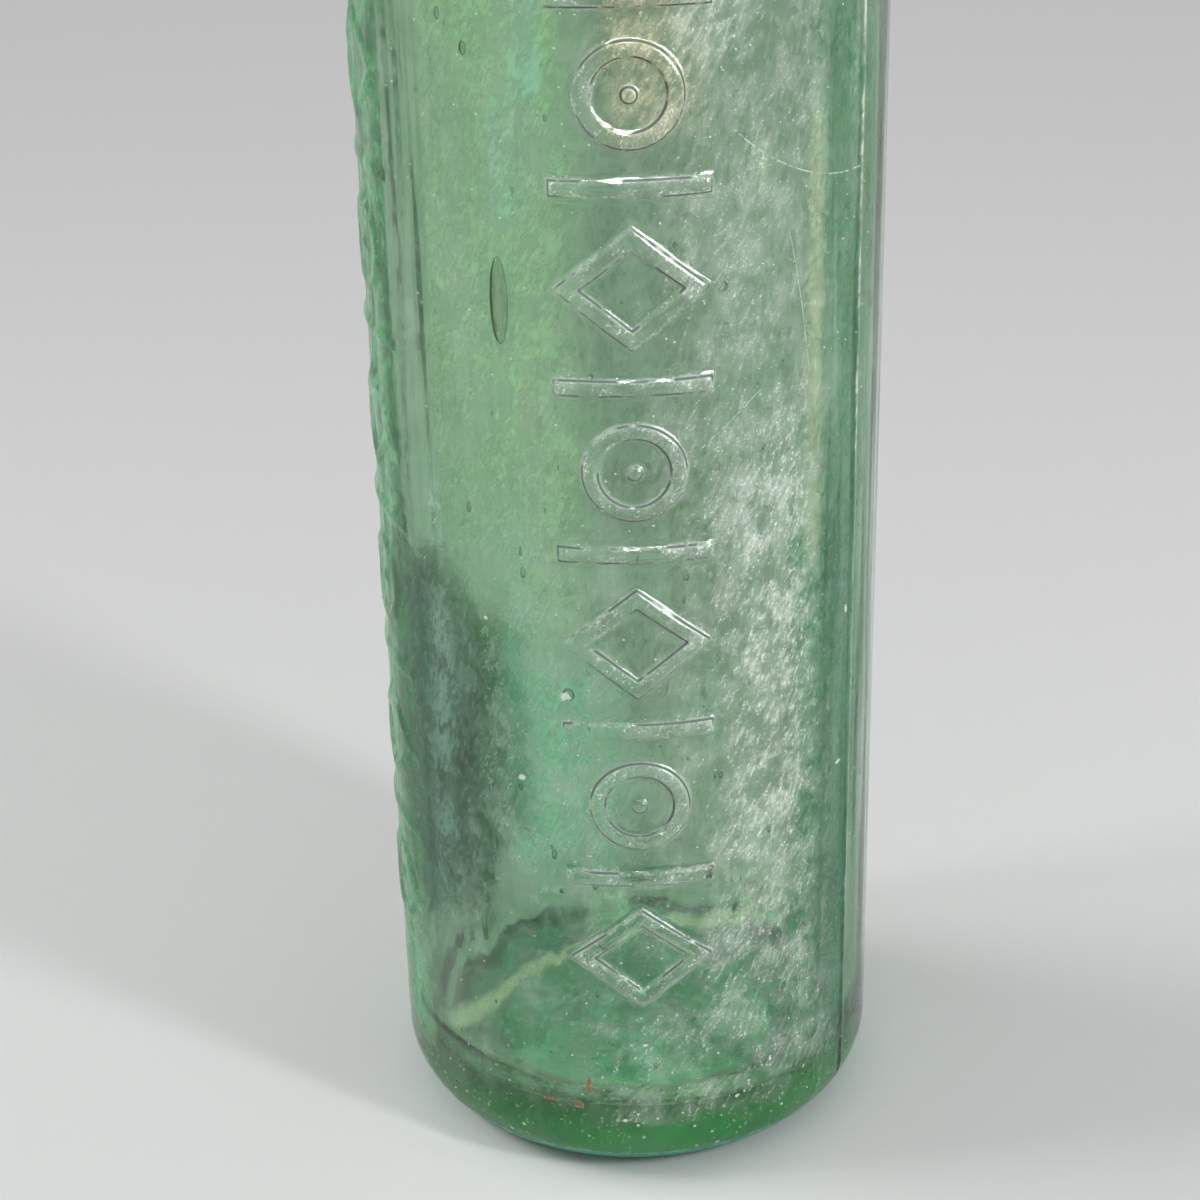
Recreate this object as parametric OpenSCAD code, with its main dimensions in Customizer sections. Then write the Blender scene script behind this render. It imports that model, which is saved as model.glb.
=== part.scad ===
// Tall round bottle of mould-blown glass, closed by a screw stopper with a rubber sealing ring.
// Millimetres. +Z runs up the bottle, the origin is the middle of its base, and the photographed
// front faces -Y. Angles round the bottle are counted from that front, positive towards +X.

/* [Glass body] */
// Outer diameter of the body
body_d = 76; // [60:0.5:96]
// Height of the glass, from the table to the top of the lip
glass_h = 294; // [280:1:340]
// Height at which the straight wall ends and the shoulder begins
wall_top = 194; // [170:1:204]
// Thickness of the wall
wall = 4.4; // [3:0.1:6]
// Thickness of the base, from the table to the floor inside
base_t = 10; // [7:0.1:14]
// Radius of the rounded heel
heel_r = 10; // [6:0.1:13]
// Radius of the rounded corner between wall and floor inside
floor_r = 8; // [3:0.1:12]
// Diameter of the hollow under the base
push_up_d = 44; // [24:0.5:50]
// Depth of the hollow under the base
push_up = 3.6; // [1:0.1:6]
// Rise of the floor inside, over the hollow
floor_rise = 2.4; // [0.5:0.1:5]

/* [Shoulder and neck] */
// Radius of the outward curve of the shoulder
shoulder_r = 29; // [20:0.5:33]
// Radius of the inward curve from the shoulder to the neck
throat_r = 32; // [14:0.5:38]
// Diameter of the neck just under the lip
neck_d = 27.6; // [25:0.1:31]
// Slope of the neck, in degrees from upright
neck_slope = 3; // [1:0.25:5]

/* [Lip and bore] */
// Diameter of the thick lip
lip_d = 34; // [31:0.1:42]
// Height of the thick lip
lip_h = 19; // [13:0.1:26]
// Rounding of the lip's top edge
lip_top_round = 3; // [1:0.1:3.5]
// Rounding of the lip's lower edge
lip_foot_round = 5.5; // [2:0.1:6]
// Diameter of the bore that the stopper screws into
bore_d = 19; // [15:0.1:20]
// Chamfer at the mouth of the bore
mouth_chamfer = 0.8; // [0.2:0.1:1.2]

/* [Mould seams] */
// Angle of the first seam, with the second one opposite
seam_angle = 59.4; // [45:0.1:75]
// Width of a seam
seam_w = 0.9; // [0.4:0.1:2]
// Height of a seam over the glass
seam_rise = 0.3; // [0.1:0.05:0.6]

/* [Raised pattern] */
// Height of the raised work over the wall
relief = 0.9; // [0.4:0.05:1.4]
// Width of a column of raised work, across the bottle
motif_w = 22; // [16:0.5:26]
// Width of one raised stroke
stroke = 2.9; // [1.8:0.1:3.4]
// Height of a lozenge, up the bottle
lozenge_h = 18; // [14:0.5:22]
// Diameter of a ring
ring_d = 15; // [12:0.5:18]
// Clear space between two motifs
motif_gap = 3.4; // [2:0.1:6]
// Height of the lowest raised edge
pattern_foot = 33; // [26:0.5:40]
// Angle of the front column
front_angle = 1.5; // [-10:0.5:20]
// Angle of the side column
side_angle = -75; // [-95:0.5:-60]

/* [Screw stopper] */
// Diameter of the stopper's head
head_d = 26; // [23:0.1:30]
// Height of the stopper's head
head_h = 8.5; // [6:0.1:12]
// Rounding of the head's edges
head_round = 1.6; // [0.5:0.1:2.2]
// Flutes round the rim of the head
flutes = 24; // [12:1:36]
// Radius of one flute
flute_r = 1.1; // [0.6:0.1:1.3]
// Length of the shank below the head
shank_l = 30; // [22:0.5:36]
// Height of the taper at the shank's tip
tip_h = 4; // [1:0.1:6]
// How far the tip draws in, on the radius
tip_in = 1.8; // [0.5:0.1:3]
// Clear space between shank and bore, on the radius
shank_clear = 0.1; // [0.02:0.01:0.3]

/* [Sealing ring] */
// Thickness of the rubber ring
seal_t = 2.4; // [1.5:0.1:3.5]
// Outer diameter of the rubber ring
seal_d = 25; // [22.5:0.1:26]
// Depth of the groove under the head that holds the ring
groove = 0.8; // [0.3:0.05:1.2]
// Clear space between ring and groove, on the radius
seal_clear = 0.08; // [0.02:0.01:0.3]

/* [Hidden] */
$fn = 96;
over = 1;                              // overrun of every cut

body_r = body_d / 2;
lip_r = lip_d / 2;
bore_r = bore_d / 2;
head_r = head_d / 2;

// Shoulder: the outward arc is centred at the wall's top, the inward arc touches it and the sloped neck
lip_z = glass_h - lip_h;
shoulder_x = body_r - shoulder_r;
slope = tan(neck_slope);
arc_span = shoulder_r + throat_r;
neck_x = neck_d / 2 + (lip_z - wall_top) * slope + throat_r / cos(neck_slope) - shoulder_x;
throat_rise = (neck_x * slope + sqrt(pow(neck_x * slope, 2) - (1 + slope * slope) *
              (neck_x * neck_x - arc_span * arc_span))) / (1 + slope * slope);
throat_x = shoulder_x + neck_x - throat_rise * slope;
throat_z = wall_top + throat_rise;
// where the two arcs touch, and where the inward one meets the neck
join_share = shoulder_r / arc_span;
join_x = shoulder_x + (throat_x - shoulder_x) * join_share;
join_z = wall_top + throat_rise * join_share;
neck_foot_x = throat_x - throat_r * cos(neck_slope);
neck_foot_z = throat_z - throat_r * sin(neck_slope);

// Stopper
shank_r = bore_r - shank_clear;
head_z = glass_h + seal_t;
tip_z = head_z - shank_l;
groove_r = shank_r - groove;
groove_z = glass_h - groove;
bore_reach = head_z - tip_z + bore_r;  // the bore runs past the shank's tip
flute_depth_share = 0.45;              // of the flute's radius
dish_r_share = 0.62;                   // of the head's radius
dish_depth_share = 0.16;               // of the head's height
boss_r_share = 0.26;                   // of the head's radius

// Radius of a dome with this half width and height
function dome_r(half_w, h) = (half_w * half_w + h * h) / (2 * h);

// Half outline of the body, shoulder and neck, drawn in or let out by grow
module glass_half(grow) {
    difference() {
        union() {
            // wall and shoulder
            translate([0, heel_r]) square([body_r + grow, wall_top - heel_r]);
            translate([shoulder_x, wall_top]) circle(r = shoulder_r + grow, $fn = 180);
            translate([0, wall_top]) square([shoulder_x, shoulder_r + grow]);
            // the web that the inward arc is cut from
            polygon([[0, wall_top], [join_x + grow * (throat_x - shoulder_x) / arc_span,
                                     join_z + grow * throat_rise / arc_span],
                     [throat_x, throat_z], [neck_foot_x + grow * cos(neck_slope),
                                            neck_foot_z + grow * sin(neck_slope)],
                     [0, neck_foot_z]]);
            // neck
            polygon([[0, wall_top], [neck_foot_x + grow * cos(neck_slope), neck_foot_z + grow * sin(neck_slope)],
                     [neck_d / 2 + grow / cos(neck_slope), lip_z],
                     [neck_d / 2 + grow / cos(neck_slope) - lip_h / 2 * slope, lip_z + lip_h / 2],
                     [0, lip_z + lip_h / 2]]);
        }
        translate([throat_x, throat_z]) circle(r = throat_r - grow, $fn = 180);
        // nothing left of the axis
        translate([-2 * body_r, -over]) square([2 * body_r, glass_h + 2 * over]);
    }
}

// Half outline of the heel: flat where it stands, then round up to the wall
module heel_half(grow) {
    square([body_r - heel_r, heel_r]);
    intersection() {
        translate([body_r - heel_r, heel_r]) circle(r = heel_r + grow, $fn = 120);
        square([body_r + grow, heel_r + over]);
    }
}

// Half outline of the thick lip
module lip_half() {
    difference() {
        union() {
            translate([0, lip_z + lip_foot_round])
                square([lip_r, lip_h - lip_foot_round - lip_top_round]);
            translate([lip_r - lip_top_round, glass_h - lip_top_round]) circle(r = lip_top_round, $fn = 72);
            translate([0, glass_h - lip_top_round]) square([lip_r - lip_top_round, lip_top_round]);
            translate([lip_r - lip_foot_round, lip_z + lip_foot_round]) circle(r = lip_foot_round, $fn = 96);
            translate([0, lip_z]) square([lip_r - lip_foot_round, lip_foot_round]);
        }
        translate([-2 * body_r, -over]) square([2 * body_r, glass_h + 2 * over]);
    }
}

// Everything inside the outer face of the glass, without the lip
module glass_skin(grow) {
    rotate_extrude($fn = 180) union() { glass_half(grow); heel_half(grow); }
}

// The space inside: body, neck, and the bore for the stopper
module cavity() {
    cav_r = body_r - wall;
    difference() {
        rotate_extrude($fn = 180) union() {
            intersection() {
                glass_half(-wall);
                translate([0, base_t + floor_r]) square([body_r, glass_h]);
            }
            translate([0, base_t]) square([cav_r - floor_r, floor_r + over]);
            intersection() {
                translate([cav_r - floor_r, base_t + floor_r]) circle(r = floor_r, $fn = 96);
                translate([0, base_t]) square([cav_r, floor_r + over]);
            }
        }
        // the floor rises over the hollow under the base
        intersection() {
            translate([0, 0, base_t + floor_rise - dome_r(push_up_d / 2, floor_rise)])
                sphere(r = dome_r(push_up_d / 2, floor_rise), $fn = 180);
            translate([0, 0, base_t - over]) cylinder(h = floor_rise + 2 * over, d = push_up_d, $fn = 120);
        }
    }
    translate([0, 0, glass_h - bore_reach]) cylinder(h = bore_reach + over, r = bore_r);
    translate([0, 0, glass_h - mouth_chamfer])
        cylinder(h = mouth_chamfer + over, r1 = bore_r, r2 = bore_r + mouth_chamfer + over);
}

// Both mould seams: one thin slab cuts them out of a slightly larger skin
module seams() {
    intersection() {
        glass_skin(seam_rise);
        rotate([0, 0, seam_angle]) translate([-seam_w / 2, -body_d, heel_r])
            cube([seam_w, 2 * body_d, lip_z - heel_r]);
    }
}

// Motifs lie flat in X and Y with their middle at the origin
module lozenge_outline(w, h) {
    polygon([[-w / 2, 0], [0, -h / 2], [w / 2, 0], [0, h / 2]]);
}

module lozenge_motif() {
    // what a stroke takes from the width and height of the hole in a lozenge
    edge = sqrt(motif_w * motif_w + lozenge_h * lozenge_h);
    difference() {
        lozenge_outline(motif_w, lozenge_h);
        lozenge_outline(motif_w - 2 * stroke * edge / lozenge_h, lozenge_h - 2 * stroke * edge / motif_w);
    }
}

module ring_motif() {
    difference() {
        circle(d = ring_d, $fn = 72);
        circle(d = ring_d - 2 * stroke, $fn = 72);
    }
    circle(d = stroke, $fn = 36);
}

module bar_motif() {
    square([motif_w, stroke], center = true);
}

// One repeat is lozenge, bar, ring, bar. Kinds: 0 lozenge, 1 bar, 2 ring
function kind(i) = [0, 1, 2, 1][i % 4];
function kind_h(i) = [lozenge_h, stroke, ring_d][kind(i)];
function foot(i, first) = i == first ? pattern_foot : foot(i - 1, first) + kind_h(i - 1) + motif_gap;

// A column of motifs at an angle round the wall, from the foot up to the shoulder
module pattern_column(angle, first) {
    last = first + ceil((wall_top - pattern_foot) / motif_gap);
    intersection() {
        rotate([0, 0, angle])
            for (i = [first:last])
                if (foot(i, first) + kind_h(i) < wall_top)
                    translate([0, 0, foot(i, first) + kind_h(i) / 2])
                        rotate([90, 0, 0])
                            linear_extrude(height = body_r + 2 * relief)
                                if (kind(i) == 0) lozenge_motif();
                                else if (kind(i) == 1) bar_motif();
                                else ring_motif();
        cylinder(h = glass_h, r = body_r + relief, $fn = 180);
    }
}

module glass_bottle() {
    color([0.42, 0.68, 0.55, 0.55])
    difference() {
        union() {
            glass_skin(0);
            rotate_extrude($fn = 120) lip_half();
            seams();
            pattern_column(front_angle, 0);
            pattern_column(side_angle, 2);
        }
        cavity();
        // the hollow under the base
        intersection() {
            translate([0, 0, push_up - dome_r(push_up_d / 2, push_up)])
                sphere(r = dome_r(push_up_d / 2, push_up), $fn = 180);
            translate([0, 0, -over]) cylinder(h = push_up + 2 * over, d = push_up_d + over, $fn = 120);
        }
    }
}

// Half outline of the stopper's head, rounded above and below
module head_half() {
    translate([0, head_round]) square([head_r, head_h - 2 * head_round]);
    square([head_r - head_round, head_h]);
    translate([head_r - head_round, head_round]) circle(r = head_round, $fn = 48);
    translate([head_r - head_round, head_h - head_round]) circle(r = head_round, $fn = 48);
}

module screw_stopper() {
    color([0.07, 0.06, 0.06])
    union() {
        translate([0, 0, head_z]) difference() {
            rotate_extrude($fn = 120) head_half();
            // flutes round the rim
            for (i = [0:flutes - 1])
                rotate([0, 0, 360 / flutes * i])
                    translate([head_r + flute_r * (1 - flute_depth_share), 0, -over])
                        cylinder(h = head_h + 2 * over, r = flute_r, $fn = 32);
            // shallow dish with a plain boss in the middle
            translate([0, 0, head_h * (1 - dish_depth_share)]) difference() {
                cylinder(h = head_h, r = head_r * dish_r_share);
                translate([0, 0, -over]) cylinder(h = head_h + 2 * over, r = head_r * boss_r_share);
            }
        }
        // groove for the ring, then the shank and its tapered tip
        translate([0, 0, groove_z - over]) cylinder(h = head_z - groove_z + 2 * over, r = groove_r);
        translate([0, 0, tip_z + tip_h]) cylinder(h = groove_z - tip_z - tip_h, r = shank_r);
        translate([0, 0, tip_z]) cylinder(h = tip_h, r1 = shank_r - tip_in, r2 = shank_r);
    }
}

module sealing_ring() {
    color([0.42, 0.16, 0.1])
    translate([0, 0, glass_h]) difference() {
        rotate_extrude($fn = 120) {
            square([seal_d / 2 - seal_t / 2, seal_t]);
            translate([seal_d / 2 - seal_t / 2, seal_t / 2]) circle(d = seal_t, $fn = 48);
        }
        translate([0, 0, -over]) cylinder(h = seal_t + 2 * over, r = groove_r + seal_clear);
    }
}

glass_bottle();
screw_stopper();
sealing_ring();
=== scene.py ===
import math
import random

import bmesh
import bpy
import numpy as np
from mathutils import Matrix, Vector


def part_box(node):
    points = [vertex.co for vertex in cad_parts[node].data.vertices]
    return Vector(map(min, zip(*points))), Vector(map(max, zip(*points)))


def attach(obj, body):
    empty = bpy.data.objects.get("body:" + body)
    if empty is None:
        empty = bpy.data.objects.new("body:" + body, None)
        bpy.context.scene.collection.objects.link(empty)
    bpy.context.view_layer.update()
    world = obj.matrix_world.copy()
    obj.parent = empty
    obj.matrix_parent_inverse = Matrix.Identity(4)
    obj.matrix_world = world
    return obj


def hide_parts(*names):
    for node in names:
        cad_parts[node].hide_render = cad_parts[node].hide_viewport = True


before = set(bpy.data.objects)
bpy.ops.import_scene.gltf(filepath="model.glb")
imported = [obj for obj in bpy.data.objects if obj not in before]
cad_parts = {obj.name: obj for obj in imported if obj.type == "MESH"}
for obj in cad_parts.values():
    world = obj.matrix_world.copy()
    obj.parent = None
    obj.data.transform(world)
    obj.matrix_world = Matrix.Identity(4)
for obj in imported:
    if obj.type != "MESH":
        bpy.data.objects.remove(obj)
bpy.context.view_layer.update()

mm = 0.001
tiny = 1e-6  # points closer than this, in metres, count as one
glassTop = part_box("glass_bottle")[1].z
ringLow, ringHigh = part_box("sealing_ring")
headFoot = ringHigh.z


# tools for modelling

def clearSelection():
    if bpy.context.object and bpy.context.object.mode != "OBJECT":
        bpy.ops.object.mode_set(mode="OBJECT")
    bpy.ops.object.select_all(action="DESELECT")


def makeActive(piece):
    clearSelection()
    piece.select_set(True)
    bpy.context.view_layer.objects.active = piece


def arc(centre, radius, start, end, count):
    # points of an arc as (radius, height) pairs, angles in degrees from the outward direction
    angles = [math.radians(start + (end - start) * i / (count - 1)) for i in range(count)]
    return [(centre[0] + radius * math.cos(a), centre[1] + radius * math.sin(a)) for a in angles]


def line(start, end, step):
    # points from start to end, about a step apart, without the first one
    count = max(1, round(math.dist(start, end) / step))
    return [(start[0] + (end[0] - start[0]) * i / count, start[1] + (end[1] - start[1]) * i / count)
            for i in range(1, count + 1)]


def keepAttribute(mesh, name, values):
    mesh.attributes.new(name, "FLOAT", "POINT").data.foreach_set("value", values.astype(np.float32))


def turned(name, outline, steps, outerCount=None):
    # spins a half outline round the axis. Each point keeps its radius, its side and its outward direction
    mesh = bpy.data.meshes.new(name)
    mesh.from_pydata([(r, 0, z) for r, z in outline], [(i, i + 1) for i in range(len(outline) - 1)], [])
    points = np.array(outline)
    along = np.gradient(points, axis=0)
    along /= np.linalg.norm(along, axis=1)[:, None] + 1e-12
    keepAttribute(mesh, "rad", points[:, 0])
    keepAttribute(mesh, "outR", along[:, 1])
    keepAttribute(mesh, "outZ", -along[:, 0])
    keepAttribute(mesh, "outer", (np.arange(len(points)) < (outerCount or len(points))).astype(float))
    piece = bpy.data.objects.new(name, mesh)
    bpy.context.scene.collection.objects.link(piece)
    makeActive(piece)
    bpy.ops.object.mode_set(mode="EDIT")
    bpy.ops.mesh.select_all(action="SELECT")
    bpy.ops.mesh.spin(steps=steps, angle=2 * math.pi, center=(0, 0, 0), axis=(0, 0, 1))
    bpy.ops.mesh.select_all(action="SELECT")
    bpy.ops.mesh.remove_doubles(threshold=tiny)
    bpy.ops.mesh.normals_make_consistent(inside=False)
    bpy.ops.object.mode_set(mode="OBJECT")
    return piece


def layer(mesh, name):
    values = np.zeros(len(mesh.vertices), np.float32)
    mesh.attributes[name].data.foreach_get("value", values)
    return values.astype(float)


def places(mesh):
    points = np.zeros(len(mesh.vertices) * 3, np.float32)
    mesh.vertices.foreach_get("co", points)
    return points.reshape(-1, 3).astype(float)


def setPlaces(mesh, points):
    mesh.vertices.foreach_set("co", points.astype(np.float32).ravel())
    mesh.update()


def ease(t):
    t = np.clip(t, 0, 1)
    return t * t * (3 - 2 * t)


def waves(seed, count, turns, rises, size):
    # a smooth uneven field round the bottle: sines with whole turns, so that it closes on itself
    pick = random.Random(seed)
    made = [(pick.randint(*turns), pick.uniform(*rises), pick.uniform(0, 6.28), pick.uniform(0.5, 1))
            for i in range(count)]
    total = sum(a for t, r, p, a in made)

    def field(angle, z):
        return size * sum(a * np.sin(t * angle + z * r + p) for t, r, p, a in made) / total

    return field


print("tools ready")


# the glass bottle: one lathe-turned skin, outside and inside, with raised work, seams, thread and seeds

glass = dict(
    bodyRadius=38 * mm, wall=4.4 * mm, wallTop=194 * mm, heelRadius=10 * mm,
    baseThickness=10 * mm, floorRadius=8 * mm, pushUpRadius=22 * mm, pushUp=3.6 * mm, floorRise=2.4 * mm,
    shoulderRadius=29 * mm, throatRadius=32 * mm, neckRadius=13.8 * mm, neckSlope=3,
    lipRadius=17 * mm, lipHeight=19 * mm, lipTopRound=3 * mm, lipFootRound=5.5 * mm, lipFootStart=-58,
    underLip=0.4 * mm, boreRadius=9.5 * mm, boreReach=39.5 * mm, boreBlend=2 * mm,
    mouthRadius=9.95 * mm, mouthEdge=0.8 * mm, mouthTurn=0.25 * mm, mouthDepth=0.9 * mm, segments=112,
)
# how far apart the outline's points lie on its straight parts, and how many there are on each arc
apart = dict(base=2 * mm, wall=2.3 * mm, neck=2.5 * mm, lip=2 * mm, mouth=1 * mm, aboveThread=0.6 * mm,
             thread=0.33 * mm, bore=2 * mm, wallInside=3 * mm, floor=1.5 * mm)
arcPoints = dict(base=10, heel=16, shoulder=20, throat=20, lip=10, throatInside=18, shoulderInside=16,
                 floorEdge=12, floor=20)
thread = dict(pitch=5 * mm, rise=0.95 * mm, glassRoot=9.05 * mm, stopperRoot=8.75 * mm,
              glassTop=glassTop - 3.2 * mm, glassFoot=glassTop - 27 * mm, fade=1.5 * mm, halfShare=0.36)
# the raised work: its columns, its strokes, and how their edges round off
relief = dict(
    height=0.86 * mm, motifWidth=22 * mm, stroke=2.9 * mm, lozenge=18 * mm, ring=15 * mm, gap=3.4 * mm,
    foot=33 * mm, frontAngle=math.radians(1.5), sideAngle=math.radians(-75),
    edgeOut=0.25 * mm, edgeIn=0.98 * mm, sideLevel=0.62, sideSoft=0.8 * mm,
)
seam = dict(angle=math.radians(59.4), width=0.5 * mm, height=0.26 * mm, foot=4 * mm, footFade=6 * mm,
            topFade=12 * mm)
# refining splits faces from inside to outside a raised edge, and beside a seam, closer each round
splitBands = ((-1.9 * mm, 1.6 * mm, 3.0 * mm), (-1.25 * mm, 0.85 * mm, 1.9 * mm),
              (-0.8 * mm, 0.4 * mm, 1.1 * mm))
# unevenness, each as the numbers that waves() takes: seed, count, turns, rises and size
skin = dict(
    strokeEdge=(5, 9, (3, 17), (-160, 160), 0.15 * mm),
    ripple=(11, 10, (2, 9), (-60, 60), 0.5), rippleDepth=0.10 * mm, rippleAbove=60 * mm,
    wander=((23, 12, (1, 6), (-45, 45), 0.75 * mm), (31, 16, (11, 27), (-24, 24), 0.26 * mm),
            (37, 14, (4, 16), (-150, 150), 0.45 * mm)),
    footShare=0.2, footGap=2 * mm, footRise=14 * mm, wallFoot=26 * mm, wallRise=45 * mm, topFade=30 * mm,
    floor=(41, 6, (1, 4), (0, 1), 1), floorDepth=0.35 * mm, floorTop=3 * mm, floorSpread=200,
)


def domeRadius(halfWidth, height):
    return (halfWidth ** 2 + height ** 2) / (2 * height)


def dome(halfWidth, height, foot, count):
    # points of a shallow dome from its edge to the axis
    radius = domeRadius(halfWidth, height)
    return [(halfWidth * (1 - i / count),
             foot + height - radius + math.sqrt(radius ** 2 - (halfWidth * (1 - i / count)) ** 2))
            for i in range(count + 1)]


def shoulderCurve(g):
    # centres and angle of the two arcs that join wall and neck
    slope = math.tan(math.radians(g["neckSlope"]))
    lean = math.cos(math.radians(g["neckSlope"]))
    lipFoot = glassTop - g["lipHeight"]
    shoulderX = g["bodyRadius"] - g["shoulderRadius"]
    span = g["shoulderRadius"] + g["throatRadius"]
    reach = g["neckRadius"] + (lipFoot - g["wallTop"]) * slope + g["throatRadius"] / lean - shoulderX
    rise = (reach * slope + math.sqrt((reach * slope) ** 2 - (1 + slope ** 2) * (reach ** 2 - span ** 2)))
    rise /= 1 + slope ** 2
    return shoulderX, (shoulderX + reach - rise * slope, g["wallTop"] + rise), math.degrees(
        math.atan2(rise, reach - rise * slope))


def glassOutline(g):
    # half outline from the middle of the base, up the outside, over the lip and down the inside
    shoulderX, throat, turn = shoulderCurve(g)
    lipFoot = glassTop - g["lipHeight"]
    r = g["bodyRadius"]
    heel = g["heelRadius"]
    outside = list(reversed(dome(g["pushUpRadius"], g["pushUp"], 0, arcPoints["base"])))
    outside += line(outside[-1], (r - heel, 0), apart["base"])[:-1]
    outside += arc((r - heel, heel), heel, -90, 0, arcPoints["heel"])
    outside += line((r, heel), (r, g["wallTop"]), apart["wall"])[:-1]
    outside += arc((shoulderX, g["wallTop"]), g["shoulderRadius"], 0, turn, arcPoints["shoulder"])
    outside += arc(throat, g["throatRadius"], turn + 180, g["neckSlope"] + 180, arcPoints["throat"])[1:]
    outside += line(outside[-1], (g["neckRadius"], lipFoot - g["underLip"]), apart["neck"])
    lipFootCentre = (g["lipRadius"] - g["lipFootRound"], lipFoot + g["lipFootRound"])
    outside += arc(lipFootCentre, g["lipFootRound"], g["lipFootStart"], 0, arcPoints["lip"])
    topCentre = (g["lipRadius"] - g["lipTopRound"], glassTop - g["lipTopRound"])
    outside += line(outside[-1], (g["lipRadius"], topCentre[1]), apart["lip"])[:-1]
    outside += arc(topCentre, g["lipTopRound"], 0, 90, arcPoints["lip"])
    outside += line(outside[-1], (g["mouthRadius"] + g["mouthEdge"], glassTop), apart["mouth"])
    # inside, downwards
    w = g["wall"]
    inside = [(g["mouthRadius"] + g["mouthTurn"], glassTop - g["mouthTurn"]),
              (g["mouthRadius"], glassTop - g["mouthDepth"])]
    inside += line(inside[-1], (g["mouthRadius"], thread["glassTop"]), apart["aboveThread"])
    inside += line(inside[-1], (g["boreRadius"], thread["glassFoot"]), apart["thread"])
    slope = math.tan(math.radians(g["neckSlope"]))
    lean = math.cos(math.radians(g["neckSlope"]))
    boreFoot = glassTop - g["boreReach"]
    neckInside = g["neckRadius"] + (lipFoot - boreFoot) * slope - w / lean
    inside += line(inside[-1], (neckInside, boreFoot - g["boreBlend"]), apart["bore"])
    inside += arc(throat, g["throatRadius"] + w, g["neckSlope"] + 180, turn + 180, arcPoints["throatInside"])
    shoulder = (shoulderX, g["wallTop"])
    inside += arc(shoulder, g["shoulderRadius"] - w, turn, 0, arcPoints["shoulderInside"])[1:]
    inner = r - w
    inside += line(inside[-1], (inner, g["baseThickness"] + g["floorRadius"]), apart["wallInside"])[:-1]
    floorCentre = (inner - g["floorRadius"], g["baseThickness"] + g["floorRadius"])
    inside += arc(floorCentre, g["floorRadius"], 0, -90, arcPoints["floorEdge"])
    inside += line(inside[-1], (g["pushUpRadius"], g["baseThickness"]), apart["floor"])[:-1]
    inside += dome(g["pushUpRadius"], g["floorRise"], g["baseThickness"], arcPoints["floor"])
    return outside + inside, len(outside)


def wrap(angle):
    return (angle + math.pi) % (2 * math.pi) - math.pi


def motifs(first):
    # the column from its foot up: (kind, middle height), as lozenge, bar, ring, bar
    kinds = ["lozenge", "bar", "ring", "bar"]
    sizes = {"lozenge": relief["lozenge"], "bar": relief["stroke"], "ring": relief["ring"]}
    z, i = relief["foot"], first
    while z + sizes[kinds[i % 4]] < glass["wallTop"]:
        size = sizes[kinds[i % 4]]
        yield kinds[i % 4], z + size / 2
        z += size + relief["gap"]
        i += 1


def patternDistance(angle, z):
    # distance to the nearest raised edge, negative inside a stroke
    nearest = np.full(angle.shape, 1.0)
    half, reach = relief["stroke"] / 2, 0.8  # reach is in radians to each side of a column
    for middle, first in ((relief["frontAngle"], 0), (relief["sideAngle"], 2)):
        turnBy = wrap(angle - middle)
        sideways = glass["bodyRadius"] * np.sin(np.clip(turnBy, -reach, reach))
        across = np.where(np.abs(turnBy) < reach, sideways, 1.0)
        for kind, height in motifs(first):
            up = z - height
            if kind == "lozenge":
                a, b = relief["motifWidth"] / 2, relief["lozenge"] / 2
                d = (np.abs(across) * b + np.abs(up) * a - a * b) / math.hypot(a, b)
                found = np.abs(d + half) - half
            elif kind == "ring":
                away = np.hypot(across, up)
                found = np.minimum(np.abs(away - relief["ring"] / 2 + half) - half, away - half)
            else:
                found = np.maximum(np.abs(across) - relief["motifWidth"] / 2, np.abs(up) - half)
            nearest = np.minimum(nearest, found)
    return nearest


def seamDistance(angle, radius):
    away = np.minimum(np.abs(wrap(angle - seam["angle"])), np.abs(wrap(angle - seam["angle"] - math.pi)))
    return away * radius


def threadWave(angle, z):
    # 0 to 1 along the thread's form, which climbs one pitch a turn
    phase = (z / thread["pitch"] - angle / (2 * math.pi)) % 1.0
    return ease(1 - np.abs(phase - 0.5) / thread["halfShare"])


def makeSmooth(piece):
    piece.data.polygons.foreach_set("use_smooth", [True] * len(piece.data.polygons))


def angleOf(points):
    return np.arctan2(points[:, 0], -points[:, 1])


def refine(piece):
    # splits the faces near raised edges and seams, each round closer to them
    for inside, outside, besideSeam in splitBands:
        mesh = bmesh.new()
        mesh.from_mesh(piece.data)
        side = mesh.verts.layers.float["outer"]
        faces = [f for f in mesh.faces if all(v[side] > 0.99 for v in f.verts)]
        middles = np.array([f.calc_center_median()[:] for f in faces])
        angle, height = angleOf(middles), middles[:, 2]
        away = patternDistance(angle, height)
        nearPattern = (away > inside) & (away < outside)
        nearSeam = seamDistance(angle, np.hypot(middles[:, 0], middles[:, 1])) < besideSeam
        nearSeam &= (height > seam["foot"]) & (height < glassTop - glass["lipHeight"])
        edges = {e for f, close in zip(faces, nearPattern) if close for e in f.edges}
        # a seam needs fine steps across it only
        edges |= {e for f, close in zip(faces, nearSeam) if close for e in f.edges
                  if abs(e.verts[0].co.z - e.verts[1].co.z) < tiny}
        inOrder = sorted(edges, key=lambda e: e.index)
        bmesh.ops.subdivide_edges(mesh, edges=inOrder, cuts=1, use_grid_fill=True, use_single_edge=True)
        mesh.to_mesh(piece.data)
        mesh.free()
        print("refined to", len(piece.data.vertices), "points")


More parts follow.
